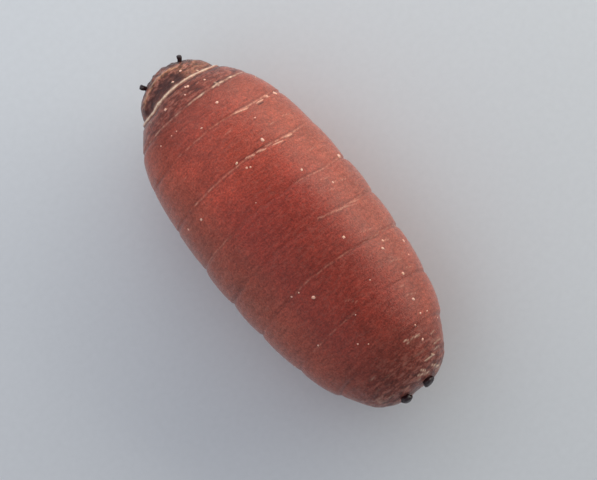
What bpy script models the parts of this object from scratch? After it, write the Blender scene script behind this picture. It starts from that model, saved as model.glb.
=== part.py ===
"""The puparium of a small leaf-mining fly: its last larval skin, hardened into one ringed barrel.

Everything is built in millimetres under one empty, which scales it to metres. The body lies along Y with
its head end towards +Y, its back towards +Z and its flattened belly on Z = 0, under the origin.
"""

import math

import bmesh
import bpy
from mathutils import Matrix, Vector, noise

# Driving sizes, in millimetres
BODY_WIDTH = 1.083        # without the swell of the segments
HEAD_REACH = 1.205        # where the outline's head curve would meet the middle line
TAIL_REACH = 1.243
HEAD_RIM = 1.095          # the pale rim behind the head cap, from the middle of the body
CAP_LENGTH = 0.188
CAP_WIDTH = 0.546
BELLY_DEPTH = 0.040       # what the flattened belly takes off the round section
SEGMENT_LENGTHS = (0.154, 0.215, 0.283, 0.289, 0.265, 0.258, 0.320, 0.265, 0.172)
SEGMENT_SWELLS = (0.001, 0.004, 0.001, 0.008, 0.017, 0.012, 0.012, 0.012, -0.010)

# The shares and exponents that shape the outline
BODY_FLATNESS = 0.92      # height of the section over its width
CAP_FLATNESS = 0.80
CAP_HOLLOW_PLACE = 0.33   # the middle of the hollow and its reach, along the cap from the rim
CAP_HOLLOW_REACH = 0.24
RIM_FOOT = 0.4            # height of the rim's foot over its crest
TAIL_CALM = 0.8           # crumpling of the tail over that of the head cap
HEAD_CURVE = (3.27, 2.08)
TAIL_CURVE = (2.16, 2.67)
CAP_CURVE = (1.85, 1.55)

# Relief of the skin, in millimetres
GROOVE = 0.005            # how deep the line between two segments lies under the smooth outline
GROOVE_REACH = 0.016
RIM_HEIGHT = 0.006
RIM_REACH = 0.0065        # how far the rim's foot lies from its crest, along the body
CAP_HOLLOW = 0.020        # the sunken top of the head cap
WRINKLE = 0.006           # crumpling of the head cap and the tail
CAP_CRUMPLED = 0.10       # how far the crumpling reaches along the body
TAIL_CRUMPLED = 0.16
SKIN_WAVE = 0.004         # the skin's slow unevenness
RING_WAVE = 0.006         # how far the segment lines stray along the body
POLE_CALM = 0.1           # the unevenness fades out this far from the middle line of each end

# The unevenness along X, Y and Z, in bumps a millimetre
SKIN_BUMPS = (3.0, 3.0, 3.0)
WRINKLE_BUMPS = (14.0, 26.0, 14.0)
RING_BUMPS = (4.0, 2.0, 4.0)

# Spiracles, the breathing horns and knobs, in millimetres
ROOT_DEPTH = 0.020        # how deep a spiracle starts inside the body
HORN_LENGTH = 0.062
HORN_RADIUS = 0.0145
HORN_PLACE = (0.131, 1.229, 0.060)
HORN_LEAN = (0.36, 0.66, 0.60)
KNOB_LENGTH = 0.050
KNOB_RADIUS = 0.036
KNOB_PLACE = (0.084, -1.226, 0.070)
KNOB_LEAN = (0.10, -0.96, 0.20)
KNOB_LOBES = 3            # one for each breathing slit
KNOB_LOBE_SPREAD = 0.12

# Outlines of the spiracles from the root up, as shares of their radius and of their length
HORN_OUTLINE = (
    (1.00, 0.05), (0.80, 0.28), (0.80, 0.50), (0.97, 0.68), (1.00, 0.82), (0.68, 0.95),
)
KNOB_OUTLINE = ((0.86, 0.20), (0.92, 0.42), (1.00, 0.62), (0.92, 0.80), (0.60, 0.95))
HORN_ROOT = 1.10
KNOB_ROOT = 0.95

SKIN_COLOUR = (0.28, 0.05, 0.035)
SKIN_ROUGHNESS = 0.40
SPIRACLE_COLOUR = (0.012, 0.009, 0.010)
SPIRACLE_ROUGHNESS = 0.35

SIDES = 56
HORN_SIDES = 10
KNOB_SIDES = 18
SEGMENT_STATIONS = (0.0, 0.07, 0.24, 0.5, 0.76, 0.93)
CAP_STATIONS = (0.05, 0.12, 0.24, 0.38, 0.52, 0.63, 0.74, 0.85, 0.94, 0.985)
TAIL_STATIONS = (0.0, 0.12, 0.35, 0.58, 0.78, 0.92, 0.985)

MERGE = 1e-4
MM = 0.001

AXIS_HEIGHT = BODY_WIDTH / 2 * BODY_FLATNESS - BELLY_DEPTH


def clear_scene():
    for obj in list(bpy.data.objects):
        bpy.data.objects.remove(obj)


def finish_of(name, colour, roughness):
    """A Principled material of one plain colour."""
    material = bpy.data.materials.new(name)
    material.use_nodes = True
    shader = material.node_tree.nodes["Principled BSDF"]
    shader.inputs["Base Color"].default_value = (*colour, 1.0)
    shader.inputs["Roughness"].default_value = roughness
    shader.inputs["Metallic"].default_value = 0.0
    return material


def rounded_end(share, curve):
    """Half-width of a rounded end as a share of its root, at a share of its length."""
    bow, ease = curve
    return (1.0 - min(share, 1.0) ** bow) ** (1.0 / ease)


def ring_places():
    """Where the lines between segments lie along the body, from the head rim to the tail."""
    places = [HEAD_RIM]
    for length in SEGMENT_LENGTHS:
        places.append(places[-1] - length)
    return places


def smooth_half_width(y):
    """Half-width of the body's smooth outline, behind the head cap."""
    if y > 0:
        return BODY_WIDTH / 2 * rounded_end(y / HEAD_REACH, HEAD_CURVE)
    return BODY_WIDTH / 2 * rounded_end(-y / TAIL_REACH, TAIL_CURVE)


def groove_depth(y, rings):
    """How deep the nearest segment line presses the skin in at y."""
    nearest = min(abs(y - ring) for ring in rings)
    return GROOVE * math.exp(-((nearest / GROOVE_REACH) ** 2))


def segment_profile(front, back, full_swell, rings):
    """(radius, y) of one segment from its front line up to, but not with, its back line."""
    points = []
    for share in SEGMENT_STATIONS:
        y = front + (back - front) * share
        swell = full_swell * math.sqrt(4 * share * (1 - share))
        points.append((smooth_half_width(y) + swell - groove_depth(y, rings), y))
    return points


def cap_profile():
    """(radius, y) of the head cap from its front to the rim behind it."""
    points = [(0.0, HEAD_RIM + CAP_LENGTH)]
    for share in reversed(CAP_STATIONS):
        width = CAP_WIDTH / 2 * rounded_end(share, CAP_CURVE)
        points.append((width, HEAD_RIM + CAP_LENGTH * share))
    return points


def rim_profile():
    """(radius, y) of the pale raised rim between the head cap and the first segment."""
    width = smooth_half_width(HEAD_RIM)
    foot = width + RIM_HEIGHT * RIM_FOOT
    return [(foot, HEAD_RIM + RIM_REACH), (width + RIM_HEIGHT, HEAD_RIM), (foot, HEAD_RIM - RIM_REACH)]


def tail_profile(ring):
    """(radius, y) of the rounded tail, from the last segment line to the middle line."""
    points = []
    for share in TAIL_STATIONS:
        y = ring - (TAIL_REACH + ring) * share
        points.append((smooth_half_width(y) - (GROOVE if share == 0.0 else 0.0), y))
    points.append((0.0, -TAIL_REACH))
    return points


def body_profile():
    """The whole turned outline as (radius, y), from the front of the cap to the tail."""
    rings = ring_places()
    points = cap_profile() + rim_profile()
    for front, back, swell in zip(rings, rings[1:], SEGMENT_SWELLS):
        segment = segment_profile(front, back, swell, rings)
        points += segment[1:] if front == HEAD_RIM else segment
    return points + tail_profile(rings[-1])


def turned(profile, sides):
    """A closed mesh turned about Z from (radius, height) points that start and end on the axis."""
    bm = bmesh.new()
    line = [bm.verts.new((radius, 0.0, height)) for radius, height in profile]
    edges = [bm.edges.new(pair) for pair in zip(line, line[1:])]
    bmesh.ops.spin(
        bm, geom=line + edges, axis=(0, 0, 1), cent=(0, 0, 0), angle=2 * math.pi, steps=sides, use_merge=True
    )
    bmesh.ops.remove_doubles(bm, verts=bm.verts, dist=MERGE)
    bmesh.ops.recalc_face_normals(bm, faces=bm.faces)
    return bm


def near(value, centre, reach):
    """A soft bell: 1 at the centre and close to 0 two reaches away."""
    return math.exp(-(((value - centre) / reach) ** 2))


def crumple(y):
    """How strongly the skin is crumpled at y: on the head cap and round the tail."""
    on_cap = near(y, HEAD_RIM + CAP_LENGTH / 2, CAP_CRUMPLED)
    return max(on_cap, TAIL_CALM * near(y, -TAIL_REACH, TAIL_CRUMPLED))


def bumps(point, scale):
    """Smooth noise at a point, from -1 to 1, with as many bumps a millimetre as scale says."""
    return noise.noise(Vector([along * often for along, often in zip(point, scale)]))


def shaped(point):
    """A point of the turned body moved to where the living shape has it."""
    x, y, z = point
    radius = math.hypot(x, z)
    if radius < MERGE:
        return Vector((0.0, y, AXIS_HEIGHT))
    side, up = x / radius, z / radius
    in_cap = min(max((y - HEAD_RIM) / CAP_LENGTH, 0.0), 1.0)
    fade = min(radius / POLE_CALM, 1.0)
    wrinkle = WRINKLE * crumple(y) * bumps(point, WRINKLE_BUMPS)
    grown = radius + (SKIN_WAVE * bumps(point, SKIN_BUMPS) + wrinkle) * fade
    stray = RING_WAVE * bumps(point, RING_BUMPS) * fade
    hollow = CAP_HOLLOW * max(up, 0.0) ** 2 * near(in_cap, CAP_HOLLOW_PLACE, CAP_HOLLOW_REACH)
    flatness = BODY_FLATNESS + (CAP_FLATNESS - BODY_FLATNESS) * in_cap
    height = AXIS_HEIGHT + up * grown * flatness - hollow
    return Vector((side * grown, y + stray, max(height, 0.0)))


def build_body():
    bm = turned(body_profile(), SIDES)
    for vert in bm.verts:
        x, z, y = vert.co
        vert.co = shaped((x, y, z))
    bmesh.ops.recalc_face_normals(bm, faces=bm.faces)
    return to_object(bm, "puparium", finish_of("hardened_skin", SKIN_COLOUR, SKIN_ROUGHNESS))


def spiracle_profile(radius, length, root, outline):
    """(radius, height) of a spiracle, from the root inside the body up to its tip."""
    points = [(0.0, -ROOT_DEPTH), (radius * root, -ROOT_DEPTH)]
    points += [(radius * wide, length * high) for wide, high in outline]
    return points + [(0.0, length)]


def placed(bm, place, lean, side):
    """Stands a turned shape on the body at place, leaning as lean says, on one side of the middle."""
    direction = Vector((lean[0] * side, lean[1], lean[2])).normalized()
    at = Vector((place[0] * side, place[1], AXIS_HEIGHT + place[2]))
    turn = direction.to_track_quat("Z", "Y").to_matrix().to_4x4()
    bmesh.ops.transform(bm, matrix=Matrix.Translation(at) @ turn, verts=bm.verts)


def build_horn(name, side, material):
    """A front spiracle: a short stalk with a clubbed tip."""
    bm = turned(spiracle_profile(HORN_RADIUS, HORN_LENGTH, HORN_ROOT, HORN_OUTLINE), HORN_SIDES)
    placed(bm, HORN_PLACE, HORN_LEAN, side)
    return to_object(bm, name, material)


def build_knob(name, side, material):
    """A rear spiracle: a stout knob with a swollen, lobed crown."""
    bm = turned(spiracle_profile(KNOB_RADIUS, KNOB_LENGTH, KNOB_ROOT, KNOB_OUTLINE), KNOB_SIDES)
    for vert in bm.verts:
        crown = min(max(vert.co.z / KNOB_LENGTH, 0.0), 1.0)
        angle = math.atan2(vert.co.y, vert.co.x)
        spread = 1.0 + KNOB_LOBE_SPREAD * crown * math.cos(KNOB_LOBES * angle)
        vert.co.x *= spread
        vert.co.y *= spread
    placed(bm, KNOB_PLACE, KNOB_LEAN, side)
    return to_object(bm, name, material)


def to_object(bm, name, material):
    mesh = bpy.data.meshes.new(name)
    bm.to_mesh(mesh)
    bm.free()
    mesh.materials.append(material)
    mesh.shade_smooth()
    obj = bpy.data.objects.new(name, mesh)
    bpy.context.scene.collection.objects.link(obj)
    return obj


def grow_onto(body, piece):
    """Joins a spiracle to the body that it grows from."""
    piece.hide_render = True
    piece.display_type = "WIRE"
    join = body.modifiers.new(piece.name, "BOOLEAN")
    join.operation = "UNION"
    join.solver = "EXACT"
    join.object = piece
    join.material_mode = "TRANSFER"


def main():
    clear_scene()
    millimetres = bpy.data.objects.new("millimetres", None)
    millimetres.scale = (MM, MM, MM)
    bpy.context.scene.collection.objects.link(millimetres)
    body = build_body()
    dark = finish_of("dark_spiracle", SPIRACLE_COLOUR, SPIRACLE_ROUGHNESS)
    spiracles = []
    for side, word in ((-1, "left"), (1, "right")):
        spiracles.append(build_horn(f"front_spiracle_{word}", side, dark))
        spiracles.append(build_knob(f"rear_spiracle_{word}", side, dark))
    for piece in spiracles:
        grow_onto(body, piece)
    for obj in [body, *spiracles]:
        obj.parent = millimetres


main()
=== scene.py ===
"""The looks of a small leaf-mining fly's puparium, which lies on a pale floor under soft studio light.

The skin and its spiracles are worked out in millimetres and scaled to metres when they are done. The body
lies along Y with its head end towards +Y, its back towards +Z and its flattened belly on Z = 0.

A bell is a soft spot: its centre and its reach. A span is a stretch with soft ends: from, to, and their blur.
"""

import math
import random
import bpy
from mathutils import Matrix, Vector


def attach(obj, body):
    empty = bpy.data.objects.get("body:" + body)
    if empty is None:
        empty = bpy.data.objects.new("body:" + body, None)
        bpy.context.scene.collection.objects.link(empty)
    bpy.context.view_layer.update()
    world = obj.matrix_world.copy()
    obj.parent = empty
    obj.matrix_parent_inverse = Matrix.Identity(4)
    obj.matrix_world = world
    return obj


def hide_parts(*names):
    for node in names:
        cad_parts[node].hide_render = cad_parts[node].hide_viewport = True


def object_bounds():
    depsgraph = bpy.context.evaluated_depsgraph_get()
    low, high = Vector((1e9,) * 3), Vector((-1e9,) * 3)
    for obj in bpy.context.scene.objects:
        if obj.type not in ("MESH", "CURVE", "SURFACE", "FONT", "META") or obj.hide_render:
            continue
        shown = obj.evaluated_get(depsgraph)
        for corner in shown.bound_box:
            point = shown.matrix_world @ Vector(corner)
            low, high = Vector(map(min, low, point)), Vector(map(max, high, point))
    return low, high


bl_info = {
    "name": "Fly Puparium",
    "version": (1, 0, 0),
    "blender": (4, 5, 0),
    "location": "View3D > Sidebar > Puparium",
    "description": "Builds the hardened, ringed skin of a fly pupa with its spiracles and dust grains",
    "category": "Object",
}

from types import SimpleNamespace

import bmesh
import bpy
from mathutils import Matrix, Vector, noise
from mathutils.bvhtree import BVHTree

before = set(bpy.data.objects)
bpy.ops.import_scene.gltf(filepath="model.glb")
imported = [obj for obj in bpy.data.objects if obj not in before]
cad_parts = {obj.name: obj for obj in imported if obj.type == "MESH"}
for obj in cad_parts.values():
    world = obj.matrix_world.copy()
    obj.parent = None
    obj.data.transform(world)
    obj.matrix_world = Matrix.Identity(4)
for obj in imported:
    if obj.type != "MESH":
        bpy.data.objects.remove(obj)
CAD_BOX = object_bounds()

MM = 0.001                # metres
MICROMETRE = 0.001        # millimetres
MERGE = 1e-4              # millimetres
NODE = "puparium"

# The body's outline: sizes in millimetres, and the exponents that round its ends
SEGMENT_LENGTHS = (0.154, 0.215, 0.283, 0.289, 0.265, 0.258, 0.320, 0.265, 0.172)
SEGMENT_SWELLS = (0.001, 0.004, 0.001, 0.008, 0.017, 0.012, 0.012, 0.012, -0.010)
HEAD_CURVE = (3.27, 2.08)
TAIL_CURVE = (2.16, 2.67)
CAP_CURVE = (1.85, 1.55)
CAP_HOLLOW_BELL = (0.33, 0.24)    # along the cap, as shares of its length from the rim
SHOULDER_BELL = (1.03, 0.075)     # where the left shoulder is a little flat
BACK_EVENNESS = 0.75              # how much of the segments' swell the back does without

# The mesh's rows along the body
CAP_CLOSENESS = 1.5       # how much closer than the coarse step the cap's rows lie
CAP_ROW_EASE = 1.3        # draws the cap's rows towards its rim
FINE_BAND = 1.6           # how far the fine rows go from a segment line, in groove reaches
TAIL_START = 0.985        # where the tail's closing rows start, as a share of its reach
TAIL_ROWS = 14

# Smooth noises: bumps a millimetre along X, Y and Z, a shift that sets each one apart, and their swing
SKIN_WAVES = (3.0, 3.0, 3.0, 0.0, 1.0)
WRINKLES = (14.0, 26.0, 14.0, 0.0, 1.0)
PUCKERS = (22.0, 48.0, 22.0, 0.0, 0.55)
CRACKLE = (60.0, 85.0, 60.0, 0.0, 0.30)
STRIAE = (7.0, 48.0, 7.0, 0.0, 1.0)
RING_STRAY = (4.0, 2.0, 4.0, 0.0, 1.0)
MOUTH_FOLDS = (30.0, 46.0, 30.0, 12.0, 1.0)
LINE_BREAKS = (3.2, 2.0, 3.2, 0.0, 1.1)
CREASE_STRAY = (16.0, 2.0, 16.0, 0.0, 0.004)
CREASE_BREAKS = (46.0, 28.0, 46.0, 0.0, 1.9)
CRINKLE_STRAY_X = (14.0, 26.0, 14.0, 3.1, 0.003)
CRINKLE_STRAY_Y = (14.0, 26.0, 14.0, 8.3, 0.003)
DARK_FOLD_STRAY = (30.0, 46.0, 30.0, 1.0, 0.004)
RIDGE_STRAY = (30.0, 46.0, 30.0, 0.0, 0.006)
HOLLOW_STRAY = (30.0, 46.0, 30.0, 0.0, 0.008)
HOLLOW_PATCHES = (30.0, 46.0, 30.0, 2.0, 0.5)
TAN_PATCHES = (30.0, 46.0, 30.0, 6.0, 1.2)
RIM_BREAKS = (30.0, 12.0, 30.0, 0.0, 0.7)
RIM_STRAY = (30.0, 12.0, 30.0, 5.0, 0.005)
RIM_BREADTH = (16.0, 2.0, 16.0, 2.0, 0.006)
RIM_SHADE_BREAKS = (30.0, 12.0, 30.0, 9.0, 0.6)
STREAKS = (13.0, 62.0, 13.0, 0.0, 1.0)
PALE_FOLDS = (11.0, 44.0, 11.0, 6.0, 1.0)
DARK_CRUMPLES = (22.0, 48.0, 22.0, 4.0, 1.0)
TONE_STRAY_X = (7.0, 7.0, 7.0, 0.0, 0.05)
TONE_STRAY_Y = (7.0, 7.0, 7.0, 5.0, 0.05)
SPIRACLE_LUMPS = (42.0, 42.0, 42.0, 0.0, 0.26)
LINE_SHIFT = 3.7          # from one segment line's breaks to the next one's
LUMP_SHIFT = 5.0          # sets the left spiracle's lumps apart from the right one's

# Where the skin is crumpled: on the head cap, at a share of its length, and round the tail
CAP_CRUMPLE_PLACE = 0.6
CAP_CRUMPLE_REACH = 0.10
TAIL_CRUMPLE = 0.9        # over the cap's
TAIL_CRUMPLE_REACH = 0.20
PUCKERS_ELSEWHERE = 0.10  # what the rest of the skin has of the puckers and the crackle
CRACKLE_ELSEWHERE = 0.15
POLE_CALM = 0.1           # the unevenness fades out this far from the middle line of each end

# Segment lines: how clearly they show, and their relief along the body in groove reaches
LINE_SHOWN = 0.55
LINE_LEAST = 0.12
LINE_ON_BACK = 0.45
LINE_CUT = 3.0            # a line's relief ends here
GROOVE_PLACE = -0.2
LIP_BELL = (0.7, 0.5)

# Bells across a segment line, in millimetres in front of it; the shades are painted shade in the grooves and
# troughs, and a shade's third number is how dark it is
RIM_CREST = (0.0, 0.008)
RIM_TROUGH = (-0.020, 0.008)
CREASE_CREST = (0.002, 0.006)
CREASE_TROUGH = (0.016, 0.007)
CREASE_TROUGH_DEPTH = 0.6         # over the crest's height
GROOVE_SHADES = ((-0.006, 0.005, 0.50), (0.013, 0.004, 0.25))
CREASE_SHADES = ((0.0135, 0.0050, 1.00), (-0.010, 0.0045, 0.55))
RIM_SHADE_BELL = (-0.021, 0.0055)

# The bow of the segment lines high on the right flank: a bell across the body and a span along it
RIGHT_SAG_BELL = (0.66, 0.25)
RIGHT_SAG_SPAN = (-0.40, 0.80, 0.06)
RIM_BOW_REACH = 0.045
MOUTH_EASE = 4            # how closely the mouth's folds keep to the very front

# Lines on top of the head cap, as X and Y: its ridge, the front of its dark hollow, its dark front edge,
# and how far the rim bows from a straight line
CAP_RIDGE = (
    (-0.215, 1.152), (-0.202, 1.168), (-0.171, 1.184), (-0.122, 1.206), (-0.061, 1.222), (0.000, 1.228),
    (0.061, 1.220), (0.110, 1.206),
)
CAP_HOLLOW_FRONT = (
    (-0.235, 1.105), (-0.202, 1.148), (-0.122, 1.172), (-0.061, 1.186), (0.000, 1.196), (0.049, 1.182),
    (0.100, 1.150),
)
CAP_FRONT = (
    (-0.190, 1.212), (-0.135, 1.240), (-0.055, 1.262), (0.000, 1.262), (0.055, 1.256), (0.170, 1.226),
)
RIM_BOW = (
    (-0.290, -0.028), (-0.240, -0.027), (-0.183, -0.019), (-0.135, -0.004), (-0.061, 0.002), (0.030, 0.004),
    (0.103, 0.002), (0.183, -0.003), (0.256, -0.010), (0.290, -0.011),
)
RIDGE_REACH = 0.011
RIDGE_SPAN = (-0.210, 0.110, 0.012)
HOLLOW_BACK = 0.012       # from the rim to the back of the dark hollow
HOLLOW_BLUR = 0.005
HOLLOW_SPAN = (-0.236, 0.100, 0.008)
HOLLOW_STEP = 0.010       # how much deeper the dark hollow lies than the skin round it

# How pale the rim and the creases are; the creases' paleness is partly painted highlight
RIM_SHOWN = 0.95
RIM_ON_BELLY = 0.50
RIM_UPPER_SPAN = (-0.2, 2.0, 0.2)  # over how far up the rim lies, from -1 under the belly to 1 on the back
RIM_WIDTH = 0.0076
CREASE_WIDTH = 0.0038
CREASE_WIDENING = 0.0034  # what a crease's strength adds to its width
CREASE_SHOWN = 0.95
CREASE_LEAST = 0.1
CREASE_BLUR = 0.010
CRINKLE_WIDTH = 0.45      # of a crinkle with no strength, over that of one with full strength
CRINKLE_HEIGHT = 0.005
STROKE_TIP = 0.0020       # a stroke's reach at its ends, and what its middle adds
STROKE_BELLY = 0.0023
PALE_FOLD = 0.45
PALE_FOLD_START = 0.25    # the noise that the pale folds of the tail start from

# How dark the head end's painted shade, its streaks and the folds are
# Painted shade in the trough behind the head rim
RIM_SHADE = 0.60
STREAK_SHADE = 1.26
STREAK_START = 0.12
STREAK_FRONT = 0.01       # from the rim
STREAK_BLUR = 0.01
CAP_EDGE_REACH = 0.016
CAP_EDGE_SPAN = (0.030, 0.185, 0.01)
HOLLOW_SHADE = 0.76
HOLLOW_SHADES = (0.55, 0.88)      # least and most
CAP_CORNERS = (                   # X and its reach, how far in front of the rim and its reach, and shade
    (-0.222, 0.022, 0.032, 0.030, 0.9),
    (0.235, 0.030, 0.018, 0.007, 0.8),
)
CAP_FLANK_SHADE = 0.75
CAP_FLANK = (0.006, 0.150)        # from and to, in front of the rim
CAP_FLANK_SPAN = (0.012, 9.0, 0.004)
CAP_FLANK_SIDE = (0.965, 2.0, 0.008)
CAP_FOLD_SHADE = 1.1
TAIL_FOLD_SHADE = 0.6
DARK_FOLD_START = 0.1
RIDGE_CLEAR = 0.8         # how much of the dark the ridge does without

# How tan the head cap's ridge and the patches on its right are
RIDGE_TAN = 0.95
PATCH_TAN = 0.45
PATCH_SHOWN = 0.5
PATCH_SPAN = (0.09, 0.30, 0.02)

# How blotched the skin is
ROUGH_CAP = 0.72
ROUGH_TAIL = 0.55
ROUGH_BEHIND_RIM = 0.42
ROUGH_BLUR = 0.02
ROUGH_FLANK = 0.20
ROUGH_LEAST = 0.10

# Pale stretches of the segment lines that stand out on the back, partly pale cuticle and partly painted
# highlight: line, from X, to X, strength
CREASES = (
    (1, -0.36, -0.05, 0.22), (1, 0.00, 0.15, 0.44), (1, 0.17, 0.38, 0.52),
    (2, -0.24, 0.15, 0.20), (2, 0.17, 0.45, 0.36),
    (3, -0.37, 0.06, 0.30), (3, 0.06, 0.46, 0.36),
    (4, -0.50, -0.30, 0.20), (4, 0.22, 0.50, 0.22),
    (5, 0.18, 0.48, 0.20),
    (6, -0.26, 0.22, 0.16), (6, 0.30, 0.52, 0.20),
    (7, -0.34, 0.02, 0.16),
)

# Pale crinkles on the back, raised and partly painted highlight: from X, Y to X, Y, and strength
CRINKLES = (
    (0.191, 0.723, 0.272, 0.716, 1.20), (0.338, 0.716, 0.378, 0.714, 1.25),
    (0.394, 0.730, 0.420, 0.709, 1.10), (0.072, 0.452, 0.132, 0.435, 0.95),
    (0.150, 0.442, 0.200, 0.431, 1.15), (0.255, 0.430, 0.316, 0.426, 1.15),
    (0.332, 0.443, 0.380, 0.436, 1.25), (0.186, -0.100, 0.222, -0.112, 0.50),
    (0.226, -0.106, 0.262, -0.116, 0.42), (0.276, -0.110, 0.330, -0.120, 0.50),
    (0.326, -0.112, 0.372, -0.122, 0.55), (0.384, -0.112, 0.452, -0.124, 0.42),
    (0.108, -0.992, 0.136, -1.000, 0.85), (0.146, -1.006, 0.176, -1.003, 0.60),
    (0.180, -1.009, 0.214, -1.013, 0.80), (0.120, -1.018, 0.138, -1.010, 0.55),
    (0.186, -1.000, 0.200, -1.012, 0.60), (0.139, -1.152, 0.205, -1.149, 0.70),
    (0.196, -1.138, 0.208, -1.152, 0.90), (0.050, -1.196, 0.092, -1.208, 0.80),
    (0.086, -1.182, 0.106, -1.198, 1.00), (0.098, -1.206, 0.126, -1.214, 0.80),
    (0.157, -1.190, 0.172, -1.199, 0.80), (0.170, -1.198, 0.198, -1.208, 1.00),
    (0.020, -1.212, 0.050, -1.216, 0.45), (0.242, -1.100, 0.300, -1.086, 0.45),
    (0.262, -1.046, 0.296, -1.034, 0.35), (0.226, -1.125, 0.262, -1.118, 0.40),
    (-0.090, -1.204, -0.030, -1.210, 0.30), (-0.180, -1.176, -0.130, -1.190, 0.30),
    (-0.190, -1.040, -0.150, -1.046, 0.25), (0.214, 0.966, 0.228, 0.930, 0.75),
    (0.000, -0.600, 0.030, -0.615, 0.35), (0.020, -0.620, 0.050, -0.645, 0.35),
    (-0.250, 1.066, -0.236, 1.030, 0.60), (0.183, 1.092, 0.180, 1.120, 0.80),
    (0.030, 0.640, 0.110, 0.646, 0.25), (-0.330, 0.600, -0.270, 0.606, 0.25),
    (0.300, 0.560, 0.360, 0.552, 0.30), (0.340, 0.100, 0.400, 0.088, 0.30),
    (0.360, -0.120, 0.420, -0.136, 0.30), (0.330, -0.300, 0.400, -0.318, 0.30),
    (0.350, -0.560, 0.420, -0.580, 0.35), (0.300, -0.780, 0.360, -0.800, 0.30),
    (0.385, 0.052, 0.425, 0.040, 0.42), (0.436, 0.038, 0.466, 0.026, 0.40),
    (0.352, 0.020, 0.376, 0.012, 0.30), (0.398, -0.424, 0.440, -0.438, 0.42),
    (0.360, -0.530, 0.394, -0.546, 0.34), (0.402, -0.636, 0.440, -0.652, 0.34),
    (0.392, 0.300, 0.440, 0.288, 0.34), (0.404, 0.566, 0.446, 0.548, 0.34),
    (0.300, -0.716, 0.340, -0.728, 0.30),
)

# Dark folds: painted shade beside the creases, and dark marks behind the head rim's right end: from X, Y to
# X, Y, and strength
DARK_FOLDS = (
    (0.335, 0.703, 0.370, 0.700, 1.00), (0.200, 0.703, 0.240, 0.698, 0.45),
    (0.013, 0.466, 0.066, 0.458, 0.80), (0.150, 0.458, 0.210, 0.451, 0.75),
    (0.090, 0.424, 0.122, 0.421, 0.70), (0.290, 0.412, 0.325, 0.414, 0.80),
    (0.352, 0.424, 0.380, 0.422, 0.50), (0.170, -0.112, 0.200, -0.118, 0.50),
    (0.270, -0.126, 0.330, -0.130, 0.35), (0.262, 1.076, 0.330, 1.044, 0.90),
    (0.300, 1.072, 0.372, 1.026, 0.80), (0.236, 1.060, 0.300, 1.030, 0.50),
    (0.330, 1.020, 0.390, 0.990, 0.60), (-0.300, 1.030, -0.345, 1.000, 0.50),
)

# Broad lighter and darker areas of the back, partly the skin's own uneven tone and partly painted glow of
# light through the skin and painted shade: X, Y, reach along X, reach along Y, and how much lighter
TONE_AREAS = (
    (-0.22, 0.36, 0.13, 0.14, 0.30), (-0.24, 0.60, 0.12, 0.06, 0.22), (-0.10, 0.40, 0.18, 0.05, 0.12),
    (-0.30, -0.30, 0.13, 0.50, 0.10), (-0.18, -0.82, 0.12, 0.14, 0.12), (0.30, 0.68, 0.26, 0.16, -0.12),
    (0.09, -0.33, 0.12, 0.13, -0.13), (0.34, 0.00, 0.13, 0.22, 0.08), (0.36, -0.30, 0.12, 0.12, 0.10),
    (0.30, -0.90, 0.16, 0.16, 0.18), (0.12, -1.12, 0.12, 0.06, 0.20), (-0.50, 0.20, 0.12, 0.60, -0.14),
)

# Grains of dust that show on the back: X and Y in millimetres, and size in micrometres
GRAINS = (
    (0.10, 1.17, 18), (0.02, 1.14, 14), (-0.12, 1.02, 14), (0.18, 1.014, 13), (0.03, 1.01, 9),
    (0.061, 1.052, 13), (0.074, 1.045, 15), (0.085, 1.100, 13),
    (0.15, 0.84, 18), (-0.02, 0.77, 9), (-0.28, 0.86, 8), (-0.15, 0.86, 6), (-0.19, 0.86, 5),
    (0.46, 0.70, 29), (0.41, 0.70, 15), (0.27, 0.62, 11), (0.22, 0.48, 19), (0.01, 0.46, 14),
    (0.04, 0.40, 10), (0.06, 0.39, 12), (-0.47, 0.37, 12), (-0.37, 0.35, 14), (0.29, 0.19, 12),
    (0.52, 0.15, 27), (0.39, 0.02, 11), (-0.05, 0.20, 5), (0.23, -0.29, 14), (-0.24, -0.37, 10),
    (-0.19, -0.38, 8), (-0.14, -0.46, 17), (0.40, -0.44, 12), (0.37, -0.48, 15),
    (0.50, -0.50, 15), (0.47, -0.59, 10), (0.19, -0.59, 7), (0.37, -0.67, 17),
    (-0.30, -0.69, 8), (-0.01, -0.70, 6), (-0.11, -0.84, 10), (-0.06, -0.88, 8),
    (0.32, -0.83, 17), (0.30, -0.92, 13), (0.34, -0.93, 10), (0.23, -0.96, 11),
    (0.21, -1.05, 16),
)
GRAIN_SEED = 7
GRAIN_RADIUS = 0.68               # over its size
GRAIN_LEAST = 0.0004
GRAIN_STRETCH = ((0.75, 1.2), (0.75, 1.2), (0.5, 0.8))    # along, across and up
GRAIN_CHIPS = 0.14
GRAIN_SINK = 0.2                  # how deep its middle lies in the skin, over its size
SCATTER_ARC = (-0.35, 1.35)       # of half a turn, from the right side over the back
SCATTER_LENGTH = 0.9              # of the body's half length
SCATTER_SIZES = (5, 10)           # micrometres
SCATTER_TOP = 0.3                 # above this the grains of the back are placed one by one
SCATTER_FOOT = 0.02 * MM

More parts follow.
